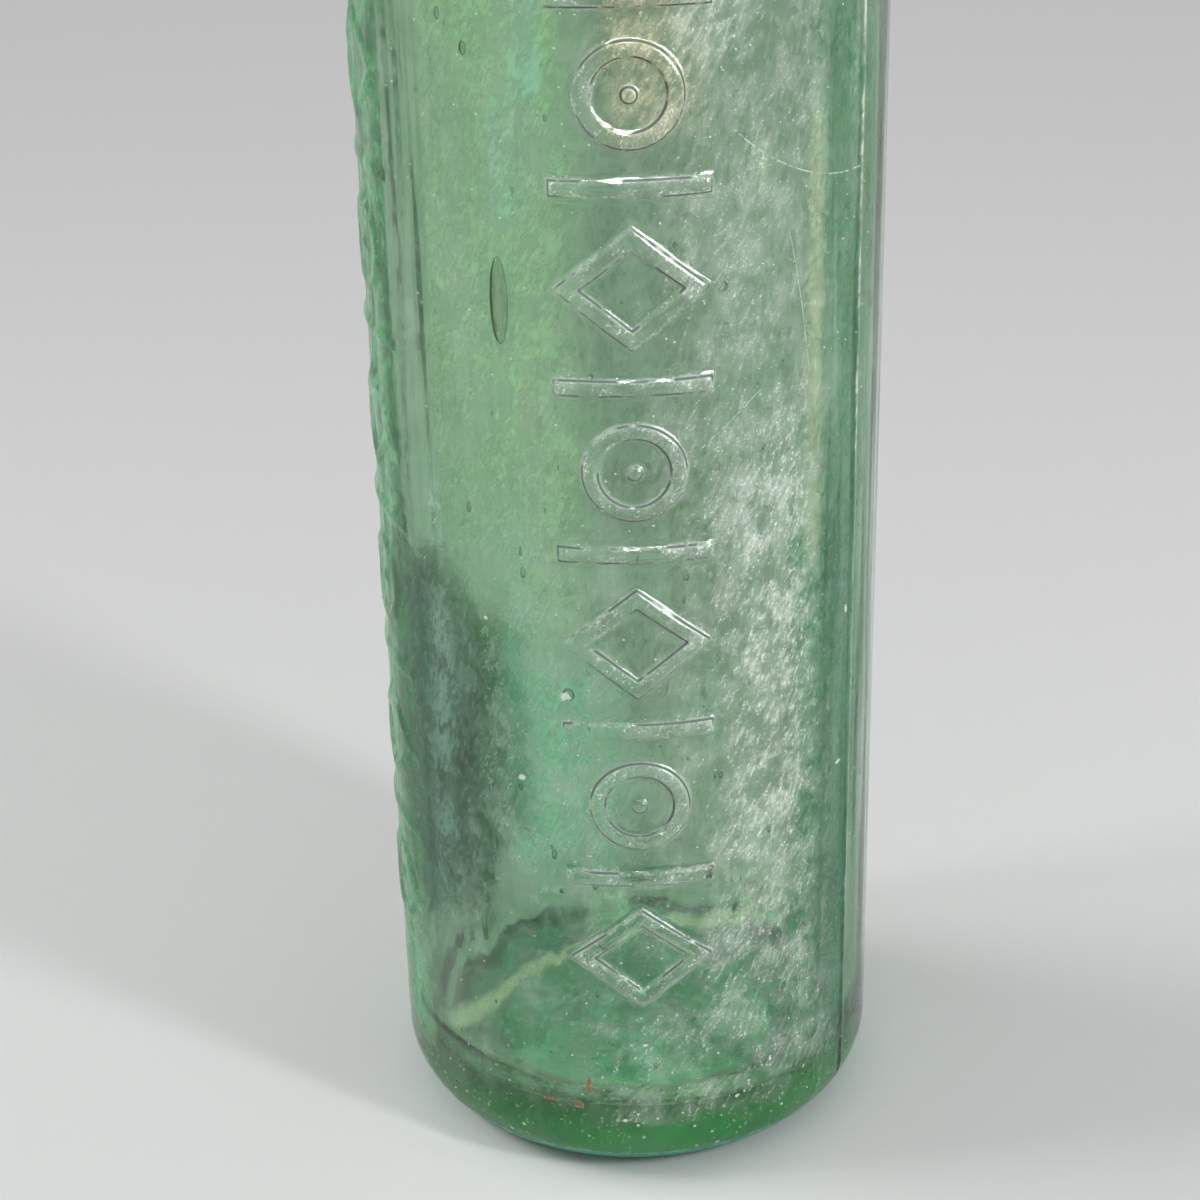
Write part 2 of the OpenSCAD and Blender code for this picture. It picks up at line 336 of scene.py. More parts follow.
def shapeGlass(piece):
    mesh = piece.data
    points = places(mesh)
    angle, z = angleOf(points), points[:, 2]
    radius, outR, outZ = layer(mesh, "rad"), layer(mesh, "outR"), layer(mesh, "outZ")
    outer = layer(mesh, "outer") > 0.5
    onWall = outer & (z > glass["heelRadius"] * 0.5)
    away = patternDistance(angle, z)
    soft = waves(*skin["strokeEdge"])(angle, z)
    onSide = ease((-math.radians(30) - wrap(angle)) / 0.2)
    bevel = relief["edgeOut"] + relief["edgeIn"] + onSide * relief["sideSoft"]
    raised = ease((relief["edgeOut"] - away + soft) / bevel)
    keepAttribute(mesh, "raised", np.where(onWall, raised, 0))
    push = np.where(onWall, relief["height"] * raised * (1 - onSide * (1 - relief["sideLevel"])), 0)
    ridge = seam["height"] * np.exp(-(seamDistance(angle, radius) / seam["width"]) ** 2)
    fadeIn = ease((z - seam["foot"]) / seam["footFade"])
    fadeIn = fadeIn * ease((glassTop - glass["lipHeight"] - z) / seam["topFade"])
    push = np.where(onWall, np.maximum(push, ridge * fadeIn), push)
    # the outside ripples inwards a little, the inside wanders more
    ripple = waves(*skin["ripple"])(angle, z)
    belowThroat = z < glass["wallTop"] + skin["rippleAbove"]
    push -= np.where(onWall & belowThroat, skin["rippleDepth"] * (0.5 + ripple), 0)
    # near the floor the inside wanders little, so that the floor shows clearly
    low, high = glass["baseThickness"] + skin["footGap"], glass["wallTop"] + skin["topFade"]
    within = skin["footShare"] * ease((z - low) / skin["footRise"])
    within += (1 - skin["footShare"]) * ease((z - skin["wallFoot"]) / skin["wallRise"])
    within *= ease((high - z) / skin["topFade"])
    uneven = sum(waves(*field)(angle, z) for field in skin["wander"])
    push += np.where(~outer, within * uneven, 0)
    # floor inside is uneven too
    floor = ~outer & (z < glass["baseThickness"] + skin["floorTop"])
    bumpy = waves(*skin["floor"])(angle, radius * skin["floorSpread"])
    push += np.where(floor, skin["floorDepth"] * bumpy, 0)
    # thread inside the neck
    inThread = ~outer & (z > thread["glassFoot"] - 1 * mm) & (z < thread["glassTop"] + 0.1 * mm)
    blend = ease((thread["glassTop"] - z) / thread["fade"]) * ease((z - thread["glassFoot"]) / thread["fade"])
    formed = thread["glassRoot"] + thread["rise"] * threadWave(angle, z)
    radius = np.where(inThread, radius * (1 - blend) + formed * blend, radius)
    made = np.stack([(radius + push * outR) * np.sin(angle), -(radius + push * outR) * np.cos(angle),
                     z + push * outZ], 1)
    onAxis = layer(mesh, "rad") < tiny
    made[onAxis, :2] = 0
    setPlaces(mesh, made)
    stainAndPaintedLightLayers(mesh, angle, z, outer)


# stains that age left, and some patches of painted shade and painted green glow: degrees round the wall
# and mm up it, each as middle, half width and softness.
# film is how thick the even part is and speck how dense the specks are. ragged, 0.9 unless it says, is
# how uneven the edge is. around is a middle in mm on the floor, then distances from it in the same form
chalk, grime = (0.73, 0.80, 0.71), (0.17, 0.14, 0.11)
# of the next three greens, the first paints the glow of light through the left side, the second paints shade
# on the right side, and the third is frost that also paints a green glow on the foot
sideGlowGreen, deep, frostAndGlow = (0.08, 0.38, 0.15), (0.03, 0.20, 0.10), (0.24, 0.72, 0.53)
moss, teal, straw = (0.74, 0.78, 0.56), (0.32, 0.66, 0.54), (0.76, 0.72, 0.46)
outerStainsAndPaintedLight = [
    dict(angle=(31, 11, 9), height=(80, 44, 28), film=0.10, speck=0.75, colour=chalk),
    dict(angle=(32, 6, 9), height=(88, 26, 28), film=0.16, speck=1.00, colour=chalk),
    dict(angle=(-34, 12, 16), height=(80, 30, 26), film=0.04, speck=0.56, colour=(0.28, 0.50, 0.38)),
    dict(angle=(-14, 8, 14), height=(78, 24, 26), film=0.04, speck=0.42, colour=(0.52, 0.62, 0.54)),
    dict(angle=(0, 20, 18), height=(44, 10, 14), film=0.03, speck=0.34, colour=chalk),
    dict(angle=(20, 24, 22), height=(22, 6, 12), film=0.06, speck=0.50, colour=chalk),
    dict(angle=(20, 6, 18), height=(120, 40, 30), film=0.06, speck=0.50, colour=chalk),
    dict(angle=(32, 10, 12), height=(165, 20, 30), film=0.10, speck=0.35, colour=chalk),
    dict(angle=(150, 40, 34), height=(95, 55, 34), film=0.12, speck=0.50, colour=chalk),
    dict(angle=(7, 6, 10), height=(177, 5, 10), film=0.20, speck=0.55, colour=straw),
    dict(angle=(17, 4, 8), height=(186, 6, 8), film=0.24, speck=0.65, colour=chalk),
    dict(angle=(0, 180, 1), height=(10, 4, 5), film=0.0, speck=0.12, colour=chalk),
    # painted light: a saturated green glow down the left side, where light shines through the glass
    dict(angle=(-77, 14, 9), height=(110, 92, 12), film=0.38, colour=sideGlowGreen),
    # painted shade: a dark patch low on the left side, where shade falls
    dict(angle=(-56, 8, 12), height=(70, 20, 24), film=0.50, colour=(0.01, 0.10, 0.05)),
    # painted shade: a narrow dark band down the right side
    dict(angle=(55, 2, 4), height=(58, 42, 30), film=0.50, colour=(0.02, 0.14, 0.07)),
    # painted glow: the foot of the heel painted green, which also covers a bright refraction line at its
    # lowest edge
    dict(angle=(0, 180, 1), height=(0, 2.5, 3), film=3.0, colour=(0.06, 0.34, 0.22)),
    # the underside is frost that also paints a bright green glow where light would shine through the base
    dict(angle=(0, 180, 1), height=(0, 4, 1), around=(0, 0, 0, 26, 2), film=9.0, colour=frostAndGlow),
]
innerStainsAndPaintedLight = [
    dict(angle=(8, 16, 12), height=(112, 52, 26), film=0.11, colour=grime),
    dict(angle=(-2, 4, 3), height=(88, 8, 4), film=0.42, colour=grime),
    dict(angle=(6, 10, 3), height=(118, 6, 4), film=0.34, colour=grime),
    dict(angle=(0, 4, 3), height=(59, 6, 4), film=0.40, colour=grime),
    dict(angle=(10, 5, 3), height=(147, 9, 4), film=0.32, colour=grime),
    # painted shade: two dark patches low on the left side, inside, where shade falls
    dict(angle=(-54, 9, 22), height=(72, 20, 20), film=1.5, colour=(0.006, 0.09, 0.04)),
    dict(angle=(-33, 4, 9), height=(78, 12, 14), film=0.8, colour=(0.02, 0.13, 0.07)),
    dict(angle=(-30, 15, 14), height=(148, 44, 26), film=0.34, speck=0.3, colour=moss),
    dict(angle=(-16, 9, 14), height=(72, 12, 16), film=0.44, speck=0.3, colour=teal),
    dict(angle=(-20, 1.5, 4), height=(180, 6, 7), film=0.60, ragged=0.5, colour=(0.46, 0.62, 0.74)),
    dict(angle=(-16, 1.0, 3), height=(186, 6, 6), film=0.50, ragged=0.5, colour=(0.82, 0.72, 0.42)),
    dict(angle=(-26, 2, 4), height=(163, 5, 7), film=0.45, ragged=0.5, colour=(0.46, 0.62, 0.70)),
    # painted shade: the right side darkened inside with the deep green
    dict(angle=(49, 6, 4), height=(62, 44, 30), film=0.85, colour=deep),
    dict(angle=(51, 4, 5), height=(150, 40, 24), film=0.40, colour=deep),
    dict(angle=(65, 7, 5), height=(105, 85, 10), film=0.60, colour=deep),
    dict(angle=(-21, 0.5, 1.8), height=(120, 12, 8), film=0.8, ragged=0.3, colour=(0.62, 0.33, 0.22)),
    dict(angle=(-46, 2.5, 4), height=(122, 10, 12), film=0.36, ragged=0.4, colour=(0.50, 0.50, 0.26)),
    dict(angle=(-27, 2, 4), height=(98, 9, 10), film=0.45, colour=(0.50, 0.72, 0.72)),
    dict(angle=(32.5, 0.4, 2.6), height=(161, 3.5, 3), film=0.45, colour=(0.74, 0.56, 0.46)),
    dict(angle=(47, 0.9, 2.2), height=(134, 26, 16), film=1.1, ragged=0.3, colour=(0.84, 0.54, 0.44)),
    # the inner floor in the same frost green, partly frost and partly a painted green glow
    dict(angle=(0, 180, 1), height=(11, 2, 1), around=(0, 0, 12, 14, 4), film=0.36, colour=frostAndGlow),
    dict(angle=(-8, 50, 40), height=(12, 3, 2.5), around=(0, 0, 30, 3.5, 2.5), film=0.40, ragged=0.3,
         colour=(0.60, 0.76, 0.60)),
    dict(angle=(0, 180, 1), height=(12, 4, 2), around=(-5, 25, 0, 2, 9), film=0.7, ragged=0.1,
         colour=(0.86, 0.96, 0.86)),
    dict(angle=(-95, 40, 40), height=(120, 60, 50), film=0.12, speck=0.3, colour=moss),
]


# the thin film that is everywhere: how thick it gets, and its unevenness as waves() takes it
thinFilm = dict(
    least=0.02, start=0.3, outside=0.09, inside=0.20, specks=0.16, onHeel=0.1, heelTop=10 * mm,
    heelFade=9 * mm, pale=(90, 14, (8, 44), (-90, 90), 1.6), dark=(92, 14, (1, 18), (-200, 200), 1.6),
    speckled=(91, 12, (2, 16), (-400, 400), 1.4),
    seam=(95, 9, (0, 0), (-400, 400), 0.8), seamFilm=0.6, seamFoot=14 * mm, seamFade=8 * mm,
)


def stainAndPaintedLightLayers(mesh, angle, z, outer):
    # the thin film is pale outside and darker inside, and the stains, painted shade and painted glow lie over
    # it
    t = thinFilm
    spots = places(mesh)
    blotch, dark = waves(*t["pale"])(angle, z), waves(*t["dark"])(angle, z)
    film = np.where(outer, t["least"] + t["outside"] * ease(t["start"] + blotch),
                    t["least"] + t["inside"] * ease(t["start"] + dark))
    speck = t["least"] + t["specks"] * ease(t["start"] + waves(*t["speckled"])(angle, z))
    aboveHeel = t["onHeel"] + (1 - t["onHeel"]) * ease((z - t["heelTop"]) / t["heelFade"])
    film, speck = film * aboveHeel, speck * aboveHeel
    tint = np.where(outer[:, None], np.array([chalk]), np.array([grime]))
    total = film + 0.01
    for onThisSide, found in ((outer, outerStainsAndPaintedLight), (~outer, innerStainsAndPaintedLight)):
        for i, patchEntry in enumerate(found):
            middle, half, soft = patchEntry["angle"]
            patch = ease((half + soft - np.degrees(np.abs(wrap(angle - math.radians(middle))))) / soft)
            middle, half, soft = patchEntry["height"]
            patch *= ease((half + soft - np.abs(z / mm - middle)) / soft)
            if "around" in patchEntry:
                x, y, middle, half, soft = patchEntry["around"]
                away = np.hypot(spots[:, 0] / mm - x, spots[:, 1] / mm - y)
                patch *= ease((half + soft - np.abs(away - middle)) / soft)
            ragged = waves(70 + i, 12, (4, 30), (-800, 800), patchEntry.get("ragged", 0.9))(angle, z)
            patch = np.where(onThisSide, patch * ease(patch * 1.2 + ragged * (1 - patch * 0.6)), 0)
            film = np.maximum(film, patch * patchEntry["film"])
            speck = np.maximum(speck, patch * patchEntry.get("speck", 0))
            added = patch * (patchEntry["film"] + 0.3 * patchEntry.get("speck", 0))
            total = total + added
            tint = tint + (np.array(patchEntry["colour"]) - tint) * (added / total)[:, None]
    # chalk clings to the seam, and this pale line also paints the seam's bright highlight
    onSeam = np.exp(-(seamDistance(angle, glass["bodyRadius"]) / seam["width"]) ** 2 * 2)
    onSeam *= ease((z - t["seamFoot"]) / t["seamFade"]) * ease(0.7 + waves(*t["seam"])(angle, z))
    film = np.where(outer, np.maximum(film, onSeam * t["seamFilm"]), film)
    keepAttribute(mesh, "film", film)
    keepAttribute(mesh, "speck", speck)
    colours = np.concatenate([tint, np.ones((len(z), 1))], 1).astype(np.float32)
    mesh.attributes.new("tint", "FLOAT_COLOR", "POINT").data.foreach_set("color", colours.ravel())


# small bubbles in the glass. A large one lies further out, the others anywhere within spread, in mm
seeds = dict(count=310, seed=7, small=0.16 * mm, large=0.55 * mm, fewLarge=2.5, tallest=2.4,
             deepest=0.4 * mm, lowest=9 * mm, highest=200 * mm, largeFrom=0.7 * mm, largeOut=1.0 * mm,
             spread=(-0.7, 1.2))
# known bubbles: angle in degrees, height, half width, half height, half depth
namedSeeds = [
    (-27, 144 * mm, 1.35 * mm, 6.2 * mm, 0.55 * mm),
    (20.7, 146 * mm, 0.75 * mm, 0.8 * mm, 0.4 * mm),
    (-13.9, 85.6 * mm, 0.9 * mm, 1.0 * mm, 0.5 * mm),
    (-34.2, 177.6 * mm, 0.6 * mm, 1.0 * mm, 0.4 * mm),
    (12.4, 104 * mm, 0.5 * mm, 0.6 * mm, 0.35 * mm),
    (-38, 112 * mm, 0.45 * mm, 0.9 * mm, 0.3 * mm),
    (33, 60 * mm, 0.5 * mm, 0.8 * mm, 0.35 * mm),
]


def seedPlaces():
    pick = random.Random(seeds["seed"])
    yield from namedSeeds
    for i in range(seeds["count"]):
        size = seeds["small"] + (seeds["large"] - seeds["small"]) * pick.random() ** seeds["fewLarge"]
        yield (pick.uniform(-180, 180), pick.uniform(seeds["lowest"], seeds["highest"]), size,
               size * pick.uniform(1, seeds["tallest"]), min(size, seeds["deepest"]))


def ball(segments, rings):
    # points and faces of a round ball of radius 1, as a primitive gives them
    clearSelection()
    bpy.ops.mesh.primitive_uv_sphere_add(segments=segments, ring_count=rings, radius=1)
    piece = bpy.context.object
    points, faces = places(piece.data), [tuple(f.vertices) for f in piece.data.polygons]
    bpy.data.objects.remove(piece)
    return points, faces


def addSeeds(piece):
    # bubbles are small closed hollows inside the wall, so their faces point into them
    middle = glass["bodyRadius"] - glass["wall"] / 2
    pick = random.Random(seeds["seed"] + 1)
    balls = {True: ball(24, 14), False: ball(8, 5)}
    points, faces = [], []
    for angle, z, wide, tall, deep in seedPlaces():
        large = wide > seeds["largeFrom"]
        away = middle + (seeds["largeOut"] if large else pick.uniform(*seeds["spread"]) * mm)
        shape, sides = balls[large]
        c, s = math.cos(math.radians(angle)), math.sin(math.radians(angle))
        x, y = shape[:, 0] * wide, shape[:, 1] * deep - away
        start = sum(len(p) for p in points)
        points.append(np.stack([x * c - y * s, x * s + y * c, shape[:, 2] * tall + z], 1))
        faces += [tuple(start + i for i in reversed(side)) for side in sides]
    mesh = bpy.data.meshes.new("seeds")
    mesh.from_pydata(np.concatenate(points).tolist(), [], faces)
    hollows = bpy.data.objects.new("seeds", mesh)
    bpy.context.scene.collection.objects.link(hollows)
    makeActive(piece)
    hollows.select_set(True)
    bpy.ops.object.join()


def buildGlass():
    outline, outerCount = glassOutline(glass)
    piece = turned("glassBottle", outline, glass["segments"], outerCount)
    refine(piece)
    shapeGlass(piece)
    addSeeds(piece)
    makeSmooth(piece)
    return piece


glassBottle = buildGlass()
print("glass bottle:", len(glassBottle.data.polygons), "faces")


# the screw stopper

stopper = dict(
    headRadius=13 * mm, headHeight=8.5 * mm, headRound=1.6 * mm, flutes=24, fluteDepth=0.5 * mm,
    fluteShare=0.62, fluteFade=1.3 * mm, fluteEnds=0.3, dishRadius=8.06 * mm, dishDepth=1.36 * mm,
    dishRound=0.5 * mm, bossRadius=3.38 * mm, bossFoot=0.4 * mm, grooveRadius=8.6 * mm, grooveRise=1.5 * mm,
    shank=30 * mm, tipHeight=4 * mm, tipRadius=7.2 * mm, tipRound=1 * mm, threadTop=glassTop - 4.5 * mm,
    threadFade=2.5 * mm, threadStart=0.6, margin=0.1 * mm, segments=192,
)
# how far apart the points of its outline lie
stopperApart = dict(tip=1 * mm, thread=0.36 * mm, under=0.7 * mm, groove=1.2 * mm, head=0.6 * mm,
                    boss=0.8 * mm)


def stopperOutline(s):
    tip = headFoot - s["shank"]
    root, gap = thread["stopperRoot"], stopperApart
    points = [(0, tip), (s["tipRadius"] * 0.5, tip)]
    points += arc((s["tipRadius"] - s["tipRound"], tip + s["tipRound"]), s["tipRound"], -90, -10, 5)
    points += line(points[-1], (root, tip + s["tipHeight"]), gap["tip"])
    points += line(points[-1], (root, s["threadTop"]), gap["thread"])
    points += line(points[-1], (s["grooveRadius"], s["threadTop"] + s["grooveRise"]), gap["under"])
    points += line(points[-1], (s["grooveRadius"], headFoot), gap["groove"])
    edge = s["headRadius"] - s["headRound"]
    points += line(points[-1], (edge, headFoot), gap["under"])[:-1]
    points += arc((edge, headFoot + s["headRound"]), s["headRound"], -90, 0, 8)
    top = headFoot + s["headHeight"]
    points += line(points[-1], (s["headRadius"], top - s["headRound"]), gap["head"])[:-1]
    points += arc((edge, top - s["headRound"]), s["headRound"], 0, 90, 8)
    dish, low, soft = s["dishRadius"], top - s["dishDepth"], s["dishRound"]
    points += line(points[-1], (dish + soft, top), gap["head"])
    points += arc((dish + soft, top - soft), soft, 90, 180, 5)[1:]
    points += arc((dish - soft, low + soft), soft, 0, -90, 5)
    boss, foot = s["bossRadius"], s["bossFoot"]
    points += line(points[-1], (boss + foot, low), gap["boss"])
    points += arc((boss + foot, low + foot), foot, -90, -180, 4)[1:]
    points += arc((boss - soft, top - soft), soft, 0, 90, 5)
    points += line(points[-1], (0, top), gap["boss"])
    return points


def shapeStopper(piece):
    mesh = piece.data
    points = places(mesh)
    angle, z = angleOf(points), points[:, 2]
    radius = layer(mesh, "rad")
    tip = headFoot - stopper["shank"]
    within = ease((z - tip - stopper["tipHeight"] * stopper["threadStart"]) / stopper["threadFade"])
    within *= ease((stopper["threadTop"] - z) / stopper["threadFade"])
    onShank = (z > tip + stopper["tipRound"]) & (z < stopper["threadTop"] + stopper["margin"])
    radius = np.where(onShank, radius + within * thread["rise"] * threadWave(angle, z), radius)
    top = headFoot + stopper["headHeight"]
    onRim = radius > stopper["headRadius"] - 1.2 * stopper["headRound"]
    onRim &= z > headFoot - stopper["margin"]
    wave = np.abs(((angle * stopper["flutes"] / (2 * math.pi)) % 1.0) - 0.5) * 2
    cut = stopper["fluteDepth"] * ease((stopper["fluteShare"] - wave) / stopper["fluteShare"])
    ends = ease((z - headFoot) / stopper["fluteFade"]) * ease((top - z) / stopper["fluteFade"])
    ends = ends * (1 - stopper["fluteEnds"]) + stopper["fluteEnds"]
    radius = np.where(onRim, radius - cut * ends, radius)
    made = np.stack([radius * np.sin(angle), -radius * np.cos(angle), z], 1)
    made[layer(mesh, "rad") < tiny, :2] = 0
    setPlaces(mesh, made)


screwStopper = turned("screwStopper", stopperOutline(stopper), stopper["segments"])
shapeStopper(screwStopper)
makeSmooth(screwStopper)
print("stopper:", len(screwStopper.data.polygons), "faces")


# the rubber sealing ring

seal = dict(outer=12.5 * mm, inner=8.72 * mm, innerRound=0.3 * mm, apart=0.7 * mm, wear=0.12 * mm,
            uneven=(3, 6, (2, 9), (-300, 300), 0.1 * mm), segments=96)


def buildSeal():
    half = (ringHigh.z - ringLow.z) / 2
    soft = seal["innerRound"]
    start = seal["inner"] + soft
    points = [(start, ringLow.z)]
    points += line(points[-1], (seal["outer"] - half, ringLow.z), seal["apart"])[:-1]
    points += arc((seal["outer"] - half, ringLow.z + half), half, -90, 90, 14)
    points += line(points[-1], (start, ringHigh.z), seal["apart"])
    points += arc((start, ringHigh.z - soft), soft, 90, 180, 4)[1:]
    points += arc((start, ringLow.z + soft), soft, 180, 270, 4)
    piece = turned("sealingRing", points, seal["segments"])
    mesh = piece.data
    spots = places(mesh)
    angle, z = angleOf(spots), spots[:, 2]
    radius = layer(mesh, "rad")
    bulge = ease((radius - seal["outer"] + half) / half)
    radius -= bulge * (seal["wear"] + waves(*seal["uneven"])(angle, z))
    setPlaces(mesh, np.stack([radius * np.sin(angle), -radius * np.cos(angle), z], 1))
    makeSmooth(piece)
    return piece


sealingRing = buildSeal()
print("ring:", len(sealingRing.data.polygons), "faces")


# materials

mmPerDegree = glass["bodyRadius"] * 1000 * math.pi / 180


class Wire:
    # one socket of a material, so that shader maths reads as maths

    def __init__(self, finish, socket):
        self.finish, self.socket = finish, socket

    def do(self, operation, first, second):
        return self.finish.node("ShaderNodeMath", dict(operation=operation), {0: first, 1: second})

    def __add__(self, other):
        return self.do("ADD", self, other)

    def __sub__(self, other):
        return self.do("SUBTRACT", self, other)

    def __rsub__(self, other):
        return self.do("SUBTRACT", other, self)

    def __mul__(self, other):
        return self.do("MULTIPLY", self, other)

    def __truediv__(self, other):
        return self.do("DIVIDE", self, other)

    def __pow__(self, other):
        return self.do("POWER", self, other)

    __radd__ = __add__
    __rmul__ = __mul__


class Finish:
    # a material and the one method that adds its nodes

    def __init__(self, name):
        self.material = bpy.data.materials.new(name)
        self.material.use_nodes = True
        self.tree = self.material.node_tree
        self.tree.nodes.clear()
        self.place = self.node("ShaderNodeTexCoord", output="Object")

    def node(self, kind, settings=None, sockets=None, output=0):
        made = self.tree.nodes.new(kind)
        for name, value in (settings or {}).items():
            if name == "stops":
                ramp = made.color_ramp
                while len(ramp.elements) < len(value):
                    ramp.elements.new(0.5)
                for element, (where, colour) in zip(ramp.elements, value):
                    element.position, element.color = where, colour
            else:
                setattr(made, name, value)
        for name, value in (sockets or {}).items():
            if isinstance(value, Wire):
                self.tree.links.new(value.socket, made.inputs[name])
            else:
                made.inputs[name].default_value = value
        return Wire(self, made.outputs[output])

    def noise(self, scale, detail=3, where=None, rough=0.55):
        return self.node("ShaderNodeTexNoise", {}, {
            "Vector": where or self.place, "Scale": scale, "Detail": detail, "Roughness": rough}, "Fac")

    def stretched(self, scale, lean=0):
        # lean turns the pattern about Y, so that its streaks lean to the right in front
        return self.node("ShaderNodeMapping", dict(vector_type="TEXTURE"), {
            "Vector": self.place, "Scale": [1 / s for s in scale], "Rotation": (0, lean, 0)})

    def step(self, value, low, high):
        # 0 below low, 1 above high, eased between
        return self.node("ShaderNodeMapRange", dict(interpolation_type="SMOOTHSTEP"),
                         {"Value": value, "From Min": low, "From Max": high})

    def attribute(self, name, output="Fac"):
        return self.node("ShaderNodeAttribute", dict(attribute_name=name), output=output)

    def within(self, value, low, high, soft):
        # 1 between low and high, fading over soft outside them
        risen = self.step(value, low - soft, low + soft * 0.5)
        return risen * (1 - self.step(value, high - soft * 0.5, high + soft))

    def most(self, first, second):
        return self.node("ShaderNodeMath", dict(operation="MAXIMUM"), {0: first, 1: second})

    def size(self, value):
        return self.node("ShaderNodeMath", dict(operation="ABSOLUTE"), {0: value})

    def scratch(self, across, up, mark):
        # a thin bowed line on the unrolled wall
        startX, startY = mark["start"][0] * mmPerDegree, mark["start"][1]
        endX, endY = mark["end"][0] * mmPerDegree, mark["end"][1]
        length = math.dist((startX, startY), (endX, endY))
        c, s = (endX - startX) / length, (endY - startY) / length
        along = (across - startX) * c + (up - startY) * s
        beside = (up - startY) * c - (across - startX) * s
        bowed = beside - along * (length - along) * (4 * mark["bow"] / length ** 2)
        thin = 1 - self.step(self.size(bowed), mark["width"] * 0.4, mark["width"])
        return self.within(along, 0, length, 1.0) * thin

    def flakes(self, across, up, marks, ragged):
        # small spots with ragged edges on the unrolled wall
        found = 0
        for angle, height, wide, tall in marks:
            side, rise = (across - angle * mmPerDegree) / wide, (up - height) / tall
            found = found + 1 - self.step(side * side + rise * rise + (ragged - 0.5) * 9, *onset["flake"])
        return found

    def mix(self, factor, first, second):
        return self.node("ShaderNodeMix", dict(data_type="RGBA"), {0: factor, 6: first, 7: second}, 2)

    def bump(self, height, distance, strength=1.0, onto=None):
        sockets = {"Height": height, "Distance": distance, "Strength": strength}
        if onto is not None:
            sockets["Normal"] = onto
        return self.node("ShaderNodeBump", {}, sockets)

    def axes(self):
        split = self.node("ShaderNodeSeparateXYZ", {}, {0: self.place})
        return [Wire(self, s) for s in split.socket.node.outputs]

    def close(self, surface, volume=None):
        made = self.tree.nodes.new("ShaderNodeOutputMaterial")
        self.tree.links.new(surface.socket, made.inputs["Surface"])
        if volume is not None:
            self.tree.links.new(volume.socket, made.inputs["Volume"])
        return self.material


aqua = dict(absorb=(0.31, 0.81, 0.51, 1), density=107.0, bend=1.5, tint=(0.79, 0.81, 0.75, 1), rough=0.02,
            filmRough=0.12, bumpDepth=0.0009, bumpStrength=0.7)
# what lies on the glass, and the dark colour of the painted shade on the stroke slopes
crust = dict(rough=0.7, bend=1.25, slopeShade=(0.03, 0.07, 0.05, 1), rust=(0.34, 0.12, 0.04, 1),
             chip=(0.85, 0.88, 0.84, 1))
# the noises that it is made of, and how far its streaks lean, in radians
grain = dict(tall=(230, 230, 15), streak=(1500, 1500, 420), lean=0.5, grit=2600, coarse=300, cloud=130,
             dots=520)
# where each kind of mark starts and where it is full. heel, dried and calm are in mm up the bottle,
# front is in degrees round it
onset = dict(
    dot=(0.04, 0.12), dotGroup=(0.44, 0.52), patch=(0.42, 0.60), mist=(0.40, 0.62), spray=(0.51, 0.62),
    tick=(0.64, 0.70), worn=(0.43, 0.58), crumb=(0.56, 0.63), slopeShade=(0.43, 0.51), pit=(0.64, 0.72),
    scratch=(0.36, 0.56), flake=(0.2, 1.3), heel=(9, 24), dried=(15, 18), calm=(22, 70), front=(-58, -46),
)
# how much of the glass each kind covers
cover = dict(mist=0.30, spray=0.30, tick=0.3, speckTick=0.5, edge=0.26, stroke=0.12, crumb=0.6, slopeShade=0.78,
             dot=0.8, scratch=0.6, rust=0.75, chip=0.7)
# scratches: start and end as degrees and mm, bow in mm
scratches = [
    dict(start=(22.8, 167.3), end=(58.8, 157.8), bow=-2.6, width=0.15),
    dict(start=(15.2, 123.2), end=(28.8, 130.5), bow=0.0, width=0.13),
    dict(start=(36, 152), end=(42, 131), bow=0.3, width=0.10),
    dict(start=(120, 150), end=(141, 139), bow=-0.8, width=0.12),
]
# rust specks: degrees, mm, half width and half height in mm
rustSpecks = [(-11.4, 18.2, 0.5, 1.5), (-14.2, 14.3, 0.9, 0.6), (-21, 14.6, 1.5, 0.3)]
# small chips in the skin, in the same form
chips = [(-14.4, 85.6, 0.8, 0.7), (-25.1, 71.2, 0.6, 0.5), (57, 91, 0.4, 0.9), (55, 66, 0.8, 0.4),
         (2, 26, 0.4, 0.3), (-33, 96, 0.4, 0.4), (-3, 12, 0.5, 0.3), (24, 14, 0.4, 0.3), (33, 19, 0.3, 0.5)]
# the line that liquid dried to on the floor inside: middle and radius of its arc in mm
tide = dict(x=20, y=-30, radius=53.5, width=3.9, colour=(1.0, 0.86, 0.68, 1))


